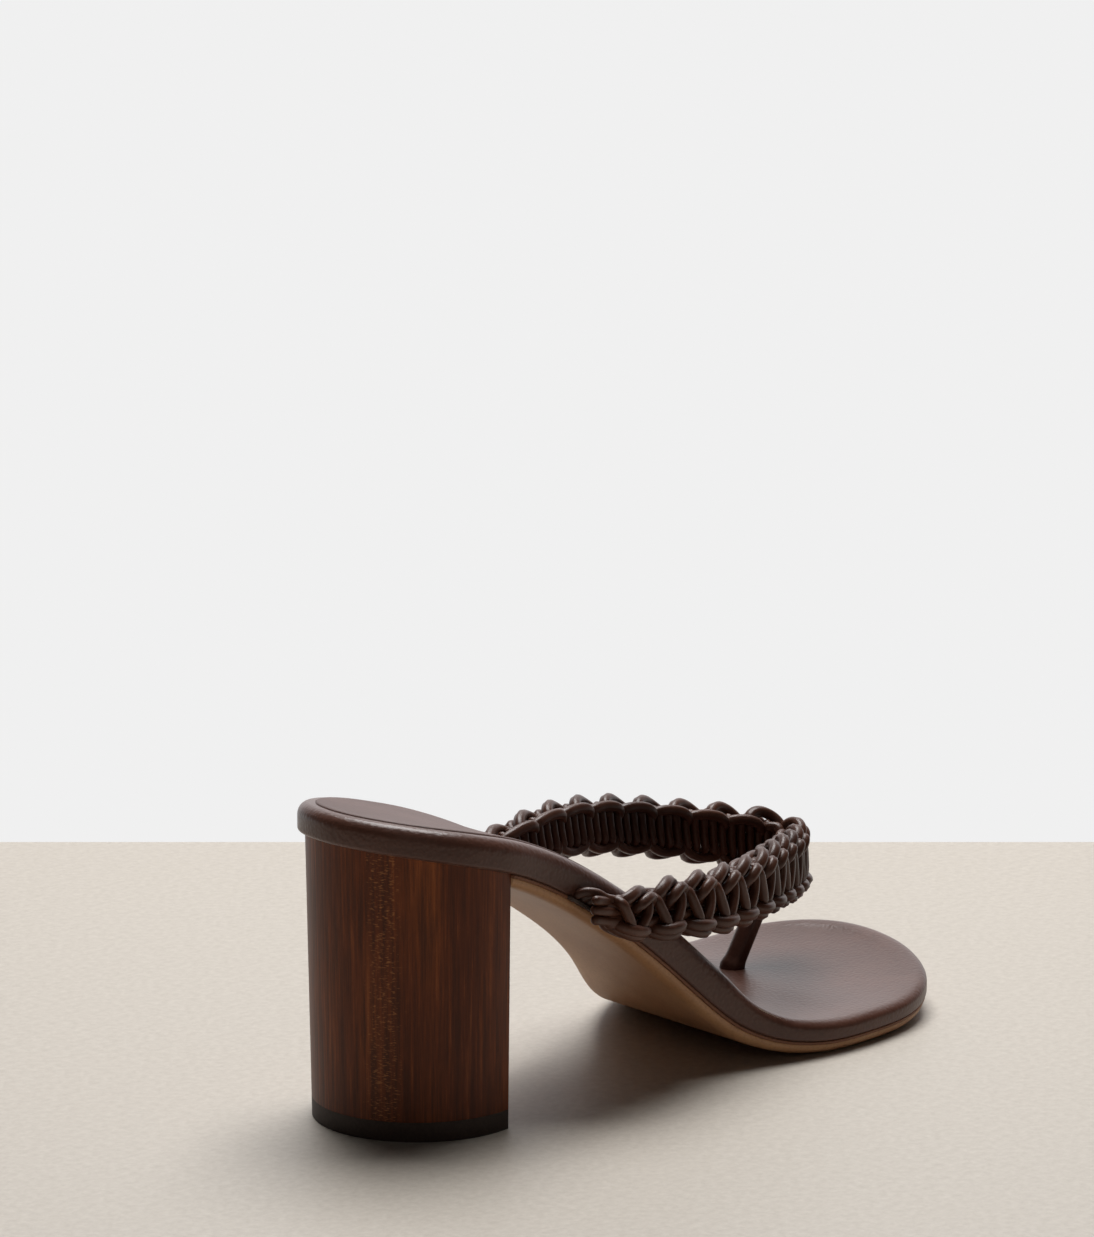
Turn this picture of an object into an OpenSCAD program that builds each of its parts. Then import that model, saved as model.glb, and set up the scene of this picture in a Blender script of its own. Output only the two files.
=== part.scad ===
// Block-heel thong sandal, right shoe: a leather-wrapped footbed on a leather outsole,
// a round wooden heel, and a strap knotted from leather cord that meets a toe post.
// Frame: X towards the toe, Y towards the inner side of the foot, Z up.
// The origin is on the ground, under the middle of the heel's round.

/* [Overall] */
// Length of the footbed along the ground
footbed_length = 218.2; // [200:0.1:262]
// Width of the forefoot
ball_width = 88.4; // [76:0.1:106]
// Height of the seat's back edge, under the footbed
seat_height = 76.2; // [63.5:0.1:91.5]

/* [Heel] */
// Radius of the heel's round at the ground
heel_r_low = 27.3; // [26.5:0.1:28]
// Radius of the heel's round at the seat
heel_r_top = 28.4; // [27.6:0.1:34.1]
// Distance from the round's centre to the flat front of the heel
breast_x = 4.3; // [3:0.1:6]
// Thickness of the rubber top piece under the heel
top_piece_h = 5; // [3.5:0.1:7]
// Length of the screw that holds the heel
screw_len = 34; // [26:1:44]

/* [Footbed] */
// Thickness of the leather outsole
outsole_t = 2.8; // [2.2:0.1:3.4]
// Thickness of the runner between outsole and footbed
runner_t = 0.8; // [0.6:0.05:1]
// Thickness of the insole board
board_t = 1.9; // [1.6:0.1:2.2]
// Thickness of the wrapping leather
wrap_t = 0.9; // [0.7:0.05:1.1]
// Thickness of the sock lining
sock_t = 0.8; // [0.6:0.05:1]
// Width of the steel shank
shank_w = 12; // [9:0.5:15]

/* [Strap] */
// Diameter of the leather cord
cord_d = 2.5; // [2.08:0.02:2.7]
// Number of knot pairs along the strap
knot_pairs = 20; // [16:1:21]
// Diameter of the toe post
post_d = 6.2; // [5.2:0.04:7.44]

/* [Hidden] */
$fn = 72;
fit = 0.05;        // gap between stacked layers
ball_skew = 8.5;   // the ball line runs forward towards the inner side
ground_gap = 3.6;  // outsole and runner under the ball
seat_rim = 0.8;    // how far the footbed stands out over the heel at its sides
wood = [0.36, 0.16, 0.07];
rubber = [0.16, 0.10, 0.08];
leather = [0.27, 0.16, 0.13];
tan = [0.72, 0.52, 0.36];
steel = [0.62, 0.63, 0.65];

// Footbed outline seen from above, counter-clockwise from the back of the heel.
drawn_plan = [
    [-30.6, 0], [-25.9, -16], [-14.5, -26.4], [0, -29.2], [18, -28.4], [37, -28.6], [55, -29.8],
    [72, -32.2], [88, -36.2], [103, -41.2], [118, -44], [134, -44], [149, -41.6], [162, -35.6],
    [173, -25.4], [181.5, -12], [186.6, 3], [187.6, 17], [184, 29.5], [176, 38.6], [163, 43.4],
    [147, 44.4], [130, 42.6], [114, 38], [99, 31], [84, 22.8], [70, 15.8], [57, 13.6], [43, 16.4],
    [28, 21.6], [13, 26.6], [-1, 29.2], [-14.5, 26.4], [-25.9, 16]];

// Underside of the wrapped footbed from the side, as [distance along, height].
drawn_side = [
    [-40, 76.2], [-34, 75.2], [-20, 72.8], [-6, 69.8], [8, 65.8], [20, 61], [32, 54.8], [44, 47.4],
    [56, 38.9], [66, 30.9], [76, 22.2], [83, 16.2], [89, 11.8], [96, 8.2], [104, 5.6], [113, 4.1],
    [121, 3.6], [133, 3.6], [145, 3.6], [155, 4.1], [166, 5.3], [177, 7.2], [190, 10.3], [200, 13]];

// Thickness of the wrapped footbed along the side profile.
drawn_depth = [[-40, 7.6], [0, 8], [28, 8.8], [60, 9.4], [80, 9], [92, 7.2], [104, 6],
                 [125, 5.3], [150, 5.1], [200, 5]];

// Lower and upper edge of the knotted band, from the outer anchor round the toes
// to the inner anchor.
drawn_low = [[34, -34.8, 46.5], [46, -35.1, 42.4], [59.8, -35.2, 40.9], [74.6, -32.6, 38],
             [91.1, -26.1, 36.2], [109, -19, 34.4], [131, -7.8, 31.7], [149, 2.2, 29.2],
             [162.5, 12.8, 28.2], [159, 21, 30.8], [147.5, 25.6, 34.2], [135, 27.6, 37.8],
             [122, 28.6, 41], [107, 28.6, 44.2], [92, 27, 47], [76, 23.8, 49], [61, 20.8, 49.6],
             [46.5, 20, 50]];
drawn_high = [[34, -34.2, 57], [46, -33.2, 55.8], [59.8, -31.2, 55.7], [74.8, -28.6, 54.5],
              [91.5, -23.7, 53.5], [109, -18.4, 52.5], [131, -7.2, 50.9], [148.5, 2.4, 49],
              [161.2, 12.6, 48.4], [157.6, 20.6, 50.2], [146.2, 25.6, 52.6], [134, 28.4, 55],
              [121, 30, 57.8], [106, 30.2, 60.8], [91, 28.8, 63], [75, 25.8, 64.2],
              [60, 22.6, 63.6], [46.5, 20.6, 61.4]];

// Fitting to size -----------------------------------------------------------------

// The drawn points are for these sizes; the shoe grows ahead of the heel's flat front
drawn_length = 218.2;
drawn_width = 88.4;
drawn_height = 76.2;
drawn_breast = 4.3;
drawn_rim = 29.2;
back_length = 30.6 + drawn_breast;
heel_scale = (heel_r_top + seat_rim) / drawn_rim;
stretch = (footbed_length - back_length * heel_scale) / (drawn_length - back_length);
climb = (seat_height - ground_gap) / (drawn_height - ground_gap);
function long(x) = x < drawn_breast ? x * heel_scale : drawn_breast * heel_scale + (x - drawn_breast) * stretch;
function wide(x, y) =
    let (t = min(max((x - drawn_breast) / 90, 0), 1))
    y * ((1 - t) * heel_scale + t * ball_width / drawn_width);
function along(x, y) = x * cos(ball_skew) - y * sin(ball_skew);
function drawn_z(p) = lookup(along(p[0], p[1]), drawn_side);
function fitted(p) = [long(p[0]), wide(p[0], p[1]), p[2] + (climb - 1) * (drawn_z(p) - ground_gap)];
plan_points = [for (p = drawn_plan) [long(p[0]), wide(p[0], p[1])]];
side_points = [for (q = drawn_side) [long(q[0]), ground_gap + (q[1] - ground_gap) * climb]];
footbed_depth = [for (q = drawn_depth) [long(q[0]), q[1]]];
band_low = [for (p = drawn_low) fitted(p)];
band_high = [for (p = drawn_high) fitted(p)];
// Toe post, from the underside of the insole board up to the strap
post_foot = fitted([137.9, 16.6, 3.7]);
post_head = fitted([153.4, 11.8, 36.4]);
post_dir = (post_head - post_foot) / norm(post_head - post_foot);

// Curves --------------------------------------------------------------------------

// Catmull-Rom point between b and c
function curve(a, b, c, d, t) =
    0.5 * (2 * b + (c - a) * t + (2 * a - 5 * b + 4 * c - d) * t * t + (3 * b - a - 3 * c + d) * t * t * t);
function at(list, i) = list[(i + len(list)) % len(list)];
function held(list, i) = list[min(max(i, 0), len(list) - 1)];
function closed_curve(p, steps) = [
    for (i = [0 : len(p) - 1], k = [0 : steps - 1])
        curve(at(p, i - 1), at(p, i), at(p, i + 1), at(p, i + 2), k / steps)];
// Point of an open curve; u counts control points
function open_point(p, u) =
    let (i = min(floor(u), len(p) - 2))
    curve(held(p, i - 1), held(p, i), held(p, i + 1), held(p, i + 2), u - i);
function open_curve(p, steps) = [for (k = [0 : (len(p) - 1) * steps]) open_point(p, k / steps)];
function unit(v) = v / norm(v);

plan_line = closed_curve(plan_points, 3);
side_line = open_curve(side_points, 2);

// Outline moved inwards by m
function plan_inset(m) = [
    for (i = [0 : len(plan_line) - 1])
        let (t = unit(at(plan_line, i + 1) - at(plan_line, i - 1)))
        plan_line[i] + m * [-t[1], t[0]]];
function side_normal(i) =
    let (t = unit(held(side_line, i + 1) - held(side_line, i - 1))) [-t[1], t[0]];
// Side line moved along its normal, by a list of [distance, offset] pairs
function side_offset(table) = [
    for (i = [0 : len(side_line) - 1]) side_line[i] + side_normal(i) * lookup(side_line[i][0], table)];
function level(d) = [[-50, d], [300, d]];
function raised(table, d) = [for (q = table) [q[0], q[1] + d]];
// Height of the footbed's underside above a plan position
function under_z(x, y) = lookup(along(x, y), side_line);

// Layers --------------------------------------------------------------------------

// Slab between two offsets of the side line, running across the shoe along the ball line
module side_slab(low, high) {
    lower = side_offset(low);
    upper = side_offset(high);
    rotate([0, 0, -ball_skew]) rotate([90, 0, 0])
        linear_extrude(height = 160, center = true)
            polygon(concat(lower, [for (i = [len(upper) - 1 : -1 : 0]) upper[i]]));
}
module plan_prism(inset) translate([0, 0, -5]) linear_extrude(height = 110) polygon(plan_inset(inset));
module layer(inset, low, high) intersection() { plan_prism(inset); side_slab(low, high); }
// Everything in front of, or behind, a line across the shoe
module ahead_of(x) translate([x, -100, -10]) cube([300, 200, 120]);
module behind(x) translate([x - 300, -100, -10]) cube([300, 200, 120]);
module rod(a, b, r) {
    v = b - a;
    translate(a) rotate([0, acos(v[2] / norm(v)), atan2(v[1], v[0])]) cylinder(h = norm(v), r = r);
}
module post_bore(r) rod(post_foot - 3 * post_dir, post_head, r);

// The sock lining ends at the waist, and the wrap rises to the full depth ahead of it
sock_end = long(84);
cover_top = [for (q = footbed_depth) [q[0], q[1] - (q[0] < sock_end + 4 ? sock_t + fit : 0)]];
foam_top = raised(cover_top, -wrap_t - fit);
shank_board_t = 1.5;
shank_from = -24;
shank_to = long(88);
screw_x = -8;

// Heel ----------------------------------------------------------------------------

nail_places = [[-14, -15], [-14, 15], [-24, 0], [-1, -17], [-1, 17]];
dowel_places = [[-13, -12], [-13, 12]];
dowel_r = 2.5;
dowel_h = 7;
nail_len = 18;

module heel_round() cylinder(h = 90, r1 = heel_r_low, r2 = heel_r_low + (heel_r_top - heel_r_low) * 90 / 72);
module heel_body() intersection() { heel_round(); behind(breast_x); }
module screw_shape(slack) {
    top = under_z(screw_x, 0);
    translate([screw_x, 0, top - screw_len]) cylinder(h = screw_len + 0.6, r = 2 + slack);
}
module nail_shape(p, slack)
    translate([p[0], p[1], under_z(p[0], p[1]) - nail_len]) cylinder(h = nail_len + 0.6, r = 0.9 + slack);
module dowel_shape(p, slack)
    translate([p[0], p[1], top_piece_h - 2]) cylinder(h = dowel_h + 2 + slack, r = dowel_r + slack);

module heel_block() color(wood) difference() {
    intersection() {
        heel_body();
        side_slab(level(-78), level(-fit));
        translate([-50, -50, top_piece_h + fit]) cube([100, 100, 100]);
    }
    screw_shape(fit);
    for (p = nail_places) nail_shape(p, fit);
    for (p = dowel_places) dowel_shape(p, fit);
}
module heel_top_piece() color(rubber) difference() {
    intersection() {
        heel_body();
        translate([-50, -50, 0]) cube([100, 100, top_piece_h]);
    }
    for (p = dowel_places) dowel_shape(p, fit);
}
module top_piece_dowels() color(rubber) for (p = dowel_places) dowel_shape(p, 0);
module screw_head(slack)
    translate([screw_x, 0, under_z(screw_x, 0) + 0.6]) cylinder(h = 2.6 + slack, r = 4.5 + slack);
module heel_screw() color(steel) {
    screw_shape(0);
    screw_head(0);
}
module nail_head(p, slack)
    translate([p[0], p[1], under_z(p[0], p[1]) + 0.6]) cylinder(h = 0.9 + slack, r = 2 + slack);
module heel_nails() color(steel) for (p = nail_places) {
    nail_shape(p, 0);
    nail_head(p, 0);
}
module heel_fastener_room() {
    screw_shape(fit);
    screw_head(fit);
    translate([screw_x, 0, under_z(screw_x, 0) + 0.6]) cylinder(h = 12, r = 4.5 + fit);
    for (p = nail_places) {
        nail_shape(p, fit);
        translate([p[0], p[1], under_z(p[0], p[1]) + 0.6]) cylinder(h = 1.2, r = 2 + fit);
    }
}

// Sole ----------------------------------------------------------------------------

anchor_r = 7;
module anchor_disc(r, low, high) {
    p = post_foot;
    translate([p[0], p[1], p[2] - 0.1 + low]) cylinder(h = high - low, r = r);
}
// The strap's ends leave the seam between these places along the shoe
outer_tab_x = [long(25), long(37)];
inner_tab_x = [long(30), long(44)];
tail_x = 37;
inner_tab_y = 18.6;
outer_tab_y = 29.4;
// Spacing of the tail cords along the seam, and how far back the outer ones sit
inner_tail_step = 4.2;
outer_tail_step = 2.8;
outer_tail_back = 6.5;
// The outline runs outwards towards the heel at the inner tails
waist_slope = 0.35;
// Tail cords end this far above the footbed's underside
tail_lift = 0.8;
// The outer tails are pressed this far towards the seam
tail_press = 0.3;
module tab_room(side, slack) {
    reach = wide(tail_x, side > 0 ? inner_tab_y : outer_tab_y);
    y = side > 0 ? 4 : -reach;
    x = side > 0 ? inner_tab_x : outer_tab_x;
    translate([x[0] - slack, y - slack, 0]) cube([x[1] - x[0] + 2 * slack, reach - 4 + 2 * slack, 80]);
}

module outsole() color(tan) intersection() {
    layer(0.7, level(-runner_t - outsole_t), level(-runner_t));
    ahead_of(breast_x + 0.15);
}
module runner() color(leather) difference() {
    intersection() {
        layer(0.45, level(-runner_t + fit), level(-fit));
        ahead_of(breast_x + 0.15);
    }
    for (side = [-1, 1]) tab_room(side, 0.1);
    anchor_disc(anchor_r + 0.1, -2, 2);
}

// Footbed -------------------------------------------------------------------------

module insole_board() color([0.55, 0.42, 0.30]) difference() {
    layer(wrap_t + fit, level(0), level(board_t));
    heel_fastener_room();
    post_bore(post_d / 2 + fit);
    for (p = rivet_places) rivet_hole(p);
}
rivet_places = [[-2, 6], [long(79), 2]];
rivet_r = 1.6;
module rivet_hole(p) {
    z = under_z(p[0], p[1]);
    translate([p[0], p[1], z - 2]) cylinder(h = 12, r = rivet_r + fit);
}
module shank_rivets() color(steel) for (p = rivet_places) intersection() {
    translate([p[0], p[1], 0]) cylinder(h = 90, r = rivet_r);
    side_slab(level(fit), level(board_t + 1.2));
}
module shank_strip(slack) intersection() {
    translate([shank_from - slack, -shank_w / 2 - slack + 3, 0])
        cube([shank_to - shank_from - 6 + 2 * slack, shank_w + 2 * slack, 100]);
    side_slab(level(board_t + fit - slack), level(board_t + 1.2 + slack));
}
module steel_shank() color(steel) difference() {
    shank_strip(0);
    heel_fastener_room();
    for (p = rivet_places) rivet_hole(p);
}
module shank_board() color([0.45, 0.34, 0.25]) difference() {
    intersection() {
        layer(5, level(board_t + fit), level(board_t + shank_board_t));
        behind(shank_to);
    }
    shank_strip(fit);
    heel_fastener_room();
    for (p = rivet_places) rivet_hole(p);
}
module footbed_foam() color([0.85, 0.80, 0.70]) difference() {
    layer(wrap_t + fit, level(board_t + fit), foam_top);
    intersection() {
        layer(5 - fit, level(-1), level(board_t + shank_board_t + fit));
        behind(shank_to + fit);
    }
    heel_fastener_room();
    post_bore(post_d / 2 + fit);
}
module footbed_cover() color(leather) difference() {
    layer(0, level(0), cover_top);
    layer(wrap_t, level(-3), raised(foam_top, fit));
    post_bore(post_d / 2 + fit);
}
module sock_lining() color([0.42, 0.30, 0.28]) intersection() {
    layer(4.2, raised(cover_top, fit), footbed_depth);
    translate([sock_end - 70, -8, 0]) cylinder(h = 120, r = 70, $fn = 144);
}

// Toe post ------------------------------------------------------------------------

core_r = post_d / 2 - 1.3;
module post_clip() side_slab(level(0), level(80));
module toe_post_core() color(leather) intersection() {
    post_bore(core_r);
    post_clip();
}
module toe_post_sleeve() color(leather) intersection() {
    difference() {
        post_bore(post_d / 2);
        post_bore(core_r + fit);
    }
    post_clip();
}
module toe_post_anchor() color(leather) anchor_disc(anchor_r, -runner_t + 2 * fit, 0);

// Strap ---------------------------------------------------------------------------

band_end = len(band_low) - 1;
function low_at(f) = open_point(band_low, f * band_end);
function high_at(f) = open_point(band_high, f * band_end);
function mid_at(f) = (low_at(f) + high_at(f)) / 2;
// Band length, measured along its middle in small steps
length_steps = 160;
length_table = [for (i = 0, s = 0; i <= length_steps;
                     i = i + 1,
                     s = s + (i <= length_steps ? norm(mid_at(i / length_steps) - mid_at((i - 1) / length_steps)) : 0))
                [s, i / length_steps]];
band_length = length_table[length_steps][0];
// Position f along the band for a length s
function fraction(s) = lookup(s, length_table);
// Distance along the band for a count of knot pairs from the outer anchor
function knot_at(q) = q / knot_pairs * band_length;
function tangent(f) = unit(mid_at(min(f + 0.004, 1)) - mid_at(max(f - 0.004, 0)));
function up(f) = unit(high_at(f) - low_at(f));
function band_h(f) = norm(high_at(f) - low_at(f));
// Places children with x along the band, z up the band and the middle at the origin
module on_band(s) {
    f = fraction(s);
    t = tangent(f);
    yaw = atan2(t[1], t[0]);
    roll = -asin(up(f) * [-sin(yaw), cos(yaw), 0]);
    translate(mid_at(f)) rotate([roll, -asin(t[2]), yaw]) children();
}
core_h = 3 * cord_d + 0.2;
knot_w = 0.315 * band_length / knot_pairs;
// Knots are pressed narrower round the bend
bend_at = 0.47;
bend_reach = 0.13;
bend_squeeze = 0.64;
function bend(u) = exp(-pow((u - bend_at) / bend_reach, 2));
function knot_width(s) = knot_w * (1 - bend_squeeze * bend(s / band_length));
module knot(s) {
    h = band_h(fraction(s)) - 2 * cord_d;
    w = knot_width(s);
    on_band(s) difference() {
        translate([-w / 2, -1.5 * cord_d, -h / 2]) cube([w, 3 * cord_d, h]);
        translate([-knot_w, -cord_d / 2 - 0.15, -core_h / 2 - 0.15])
            cube([2 * knot_w, cord_d + 0.3, core_h + 0.3]);
    }
}
// Half ring of cord standing off the band's edge, between two knots
module loop(s, side) {
    h = band_h(fraction(s)) / 2 - cord_d;
    on_band(s) mirror([0, 0, side < 0 ? 1 : 0]) translate([0, 0, h + 0.1])
        rotate([90, 0, 0]) rotate_extrude(angle = 180)
            translate([cord_d * 0.62, 0]) circle(d = cord_d, $fn = 16);
}
// The toe post's loop takes the place of one lower knot, at the front of the band
loop_knot = round(knot_pairs * 0.46);
loop_s = knot_at(loop_knot + 0.75);
loop_w = knot_width(loop_s);
loop_wall = 0.9;
module loop_stem(slack)
    rod(post_head - 3.5 * post_dir, mid_at(fraction(loop_s)) + [-1, 0, -1], post_d / 2 + loop_wall + slack);
// The knots beside the toe post are pressed back by it
module strap_upper_cord() color(leather) difference() {
    for (i = [0 : knot_pairs - 1]) {
        knot(knot_at(i + 0.25));
        loop(knot_at(i + 0.25), 1);
    }
    loop_stem(fit);
    post_bore(post_d / 2 + fit);
}
module strap_lower_cord() color(leather) for (i = [0 : knot_pairs - 1]) if (i != loop_knot) {
    knot(knot_at(i + 0.75));
    loop(knot_at(i + 0.75), -1);
}
module toe_post_loop() color([0.45, 0.30, 0.24]) difference() {
    union() {
        on_band(loop_s) translate([-loop_w / 2, -1.2 * cord_d, -7]) cube([loop_w, 2.4 * cord_d, 12]);
        loop_stem(0);
    }
    on_band(loop_s) translate([-knot_w * 2, -cord_d / 2 - 0.15, -core_h / 2 - 0.15])
        cube([4 * knot_w, cord_d + 0.3, core_h + 0.3]);
    post_bore(post_d / 2 + fit);
}

// One cord swept along the band at a height z from its middle
ring_sides = 8;
ring_count = 60;
function filler_ring(f, z) =
    let (t = tangent(f), u = up(f), n = cross(t, u), c = mid_at(f) + z * u)
    [for (k = [0 : ring_sides - 1])
        c + cord_d / 2 * (cos(360 * (k + 0.5) / ring_sides) * n + sin(360 * (k + 0.5) / ring_sides) * u)];
module filler(z) {
    rings = [for (i = [0 : ring_count]) each filler_ring(i / ring_count, z)];
    last = ring_count * ring_sides;
    polyhedron(points = rings, convexity = 6, faces = concat(
        [[for (k = [0 : ring_sides - 1]) k]],
        [[for (k = [ring_sides - 1 : -1 : 0]) last + k]],
        [for (i = [0 : ring_count - 1], k = [0 : ring_sides - 1])
            [i * ring_sides + k, (i + 1) * ring_sides + k,
             (i + 1) * ring_sides + (k + 1) % ring_sides, i * ring_sides + (k + 1) % ring_sides]]));
}
module strap_filler_cords() color(leather) for (k = [-1 : 1]) filler(k * (cord_d + 0.1));

// Tail cords run from the end of the band to the seam under the footbed
function tail_top(side, k) =
    let (f = side > 0 ? 1 : 0, gap = side > 0 ? cord_d + 0.1 : 1.3 * cord_d)
    mid_at(f) + k * gap * up(f) + side * 0.2 * tangent(f);
function tail_foot(side, k) =
    let (step = side > 0 ? inner_tail_step : outer_tail_step,
         x = long(tail_x) - (side > 0 ? 0 : outer_tail_back) - step * k,
         y = side > 0 ? wide(tail_x, inner_tab_y) + waist_slope * step * k
                      : -wide(tail_x, outer_tab_y))
    [x, y + side * tail_r(side) + (side > 0 ? 0 : tail_press), under_z(x, y) + (side > 0 ? 1 : 0.4) * tail_lift];
// The outer tails are pressed thinner where they turn under the edge
function tail_r(side) = side > 0 ? cord_d / 2 : 0.37 * cord_d;
module tails(side) for (k = [-1 : 1]) rod(tail_foot(side, k), tail_top(side, k), tail_r(side));
module outer_tail_cords() color(leather) tails(-1);
module inner_tail_cords() color(leather) tails(1);
module tab(side) intersection() {
    tab_room(side, 0);
    side_slab(level(-runner_t + fit), level(-fit));
}
module outer_anchor_tab() color([0.30, 0.24, 0.20]) tab(-1);
module inner_anchor_tab() color([0.30, 0.24, 0.20]) tab(1);

heel_block();
heel_top_piece();
top_piece_dowels();
heel_screw();
heel_nails();
outsole();
runner();
insole_board();
shank_board();
steel_shank();
shank_rivets();
footbed_foam();
footbed_cover();
sock_lining();
toe_post_core();
toe_post_sleeve();
toe_post_anchor();
toe_post_loop();
strap_filler_cords();
strap_upper_cord();
strap_lower_cord();
outer_tail_cords();
inner_tail_cords();
outer_anchor_tab();
inner_anchor_tab();
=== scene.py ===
# %% [markdown]
# # A block-heel thong sandal
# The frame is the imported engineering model, in metres: X runs towards the toe, Y towards the
# inner side of the foot and Z up. It stays as it is, and the looks are built around it. The
# pieces that are already the right shape keep their meshes and get better materials; the
# wrapped footbed, the sole and the knotted strap are worked out again as smooth surfaces.

# %% Load the frame
import math

import bmesh
import bpy
import numpy as np
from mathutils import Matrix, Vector


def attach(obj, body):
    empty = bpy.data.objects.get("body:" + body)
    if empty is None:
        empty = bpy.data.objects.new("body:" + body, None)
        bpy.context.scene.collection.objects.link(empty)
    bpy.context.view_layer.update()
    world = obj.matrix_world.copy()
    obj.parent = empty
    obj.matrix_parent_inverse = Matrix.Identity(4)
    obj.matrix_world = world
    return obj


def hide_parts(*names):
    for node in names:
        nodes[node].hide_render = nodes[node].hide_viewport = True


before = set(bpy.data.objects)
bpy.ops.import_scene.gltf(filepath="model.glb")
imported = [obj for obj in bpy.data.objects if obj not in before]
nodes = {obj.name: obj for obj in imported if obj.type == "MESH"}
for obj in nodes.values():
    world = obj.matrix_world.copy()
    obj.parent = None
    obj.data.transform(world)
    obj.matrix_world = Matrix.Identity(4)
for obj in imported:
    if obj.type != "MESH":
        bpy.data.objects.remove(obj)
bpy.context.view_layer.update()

MM = 0.001
print("frame loaded:", len(nodes), "nodes")

# %% [markdown]
# ## Camera
# The camera stands low behind the shoe's outer side and looks slightly down, through a
# long lens, so the shoe shows little perspective. Its place and turn are plain numbers.

# %% Camera
cam_data = bpy.data.cameras.new("camera")
cam_data.sensor_fit = "HORIZONTAL"
cam_data.sensor_width = 36
cam_data.lens = 36 * 4500 / 1094
cam_data.clip_end = 50
camera = bpy.data.objects.new("camera", cam_data)
camera.location = (-0.7848, -0.7761, 0.3257)
camera.rotation_euler = (math.radians(79.8), 0, math.radians(-47))
bpy.context.scene.collection.objects.link(camera)
bpy.context.scene.camera = camera
print("lens", round(cam_data.lens, 1), "mm")

# %% [markdown]
# ## Curves that everything follows
# The footbed is drawn by two curves: its outline from above and its underside from the side.
# A Catmull-Rom curve passes through all of its points, so a few points are enough. It is a
# sum of four neighbours, each times a cubic in the distance t between the middle two.


# %% Curve helpers
def catmull(p, steps, closed=False):
    """Points of a Catmull-Rom curve: for a, b, c, d in a row and t from 0 to 1, half of
    2b + (c-a)t + (2a-5b+4c-d)t^2 + (3b-a-3c+d)t^3."""
    p = np.asarray(p, float)
    n = p.shape[-2]
    count = n if closed else n - 1
    i = np.repeat(np.arange(count), steps)
    t = np.tile(np.arange(steps) / steps, count)[:, None]
    if closed:
        a, b, c, d = (p[..., (i + k) % n, :] for k in (-1, 0, 1, 2))
    else:
        a, b, c, d = (p[..., np.clip(i + k, 0, n - 1), :] for k in (-1, 0, 1, 2))
    out = 0.5 * (2 * b + (c - a) * t + (2 * a - 5 * b + 4 * c - d) * t**2
                 + (3 * b - a - 3 * c + d) * t**3)
    return out if closed else np.concatenate([out, p[..., -1:, :]], axis=-2)


def unit(v):
    """Vectors divided by their lengths."""
    return v / np.maximum(np.linalg.norm(v, axis=-1, keepdims=True), 1e-9)


print("curve helpers ready")


# %% Outline and side profile, in millimetres
plan = [(-30.6, 0), (-25.9, -16), (-14.5, -26.4), (0, -29.2), (18, -28.4), (37, -28.6),
        (55, -29.8), (72, -32.2), (88, -36.2), (103, -41.2), (118, -44), (134, -44),
        (149, -41.6), (162, -35.6), (173, -25.4), (181.5, -12), (186.6, 3), (187.6, 17),
        (184, 29.5), (176, 38.6), (163, 43.4), (147, 44.4), (130, 42.6), (114, 38), (99, 31),
        (84, 22.8), (70, 15.8), (57, 13.6), (43, 16.4), (28, 21.6), (13, 26.6), (-1, 29.2),
        (-14.5, 26.4), (-25.9, 16)]
PLAN_STEPS = 8
rim = catmull(plan, PLAN_STEPS, closed=True)
rim_in = unit(np.roll(rim, -1, 0) - np.roll(rim, 1, 0)) @ np.array([[0, 1], [-1, 0]])


def rim_point(side, tau, inset):
    """Point on the outer (-1) or inner (+1) rim at tau outline points from the back, moved
    inwards along the rim's normal."""
    place = tau * PLAN_STEPS if side < 0 else len(rim) - tau * PLAN_STEPS
    index = np.arange(len(rim) + 1)
    both = np.concatenate([np.concatenate([rim, rim[:1]]), np.concatenate([rim_in, rim_in[:1]])], 1)
    at = np.stack([np.interp(place, index, both[:, k]) for k in range(4)], -1)
    return at[..., :2] + inset[..., None] * unit(at[..., 2:])


side = catmull([(-40, 76.2), (-34, 75.2), (-20, 72.8), (-6, 69.8), (8, 65.8), (20, 61), (32, 54.8),
                (44, 47.4), (56, 38.9), (66, 30.9), (76, 22.2), (83, 16.2), (89, 11.8), (96, 8.2),
                (104, 5.6), (113, 4.1), (121, 3.6), (133, 3.6), (145, 3.6), (155, 4.1), (166, 5.3),
                (177, 7.2), (190, 10.3), (200, 13)], 6)
side_up = unit(np.gradient(side, axis=0)) @ np.array([[0, 1], [-1, 0]])
DEPTH_S = [-40, 0, 28, 60, 80, 92, 104, 125, 150, 200]
DEPTH_T = [7.6, 8, 8.8, 9.4, 9, 7.2, 6, 5.3, 5.1, 5]
SKEW = math.radians(8.5)


def profile_height(xy, level):
    """Height of the side profile moved along its normal by level, at a place on the ground.
    The ball line is skewed, so the distance along is x cos(skew) - y sin(skew)."""
    along = xy[..., 0] * math.cos(SKEW) - xy[..., 1] * math.sin(SKEW)
    moved = side + side_up * np.broadcast_to(level, side.shape[:1])[:, None]
    return np.interp(along, moved[:, 0], moved[:, 1])


depth = np.interp(side[:, 0], DEPTH_S, DEPTH_T)
print("outline points:", len(rim), "profile points:", len(side))

# %% [markdown]
# ## Layers of the sole
# Every layer is one closed body: a cross-section that runs over the top, round one edge,
# back underneath and round the other edge, carried from the heel to the toe. The rows pair a
# place on the outer rim with one on the inner rim, so the grid follows the outline.


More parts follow.
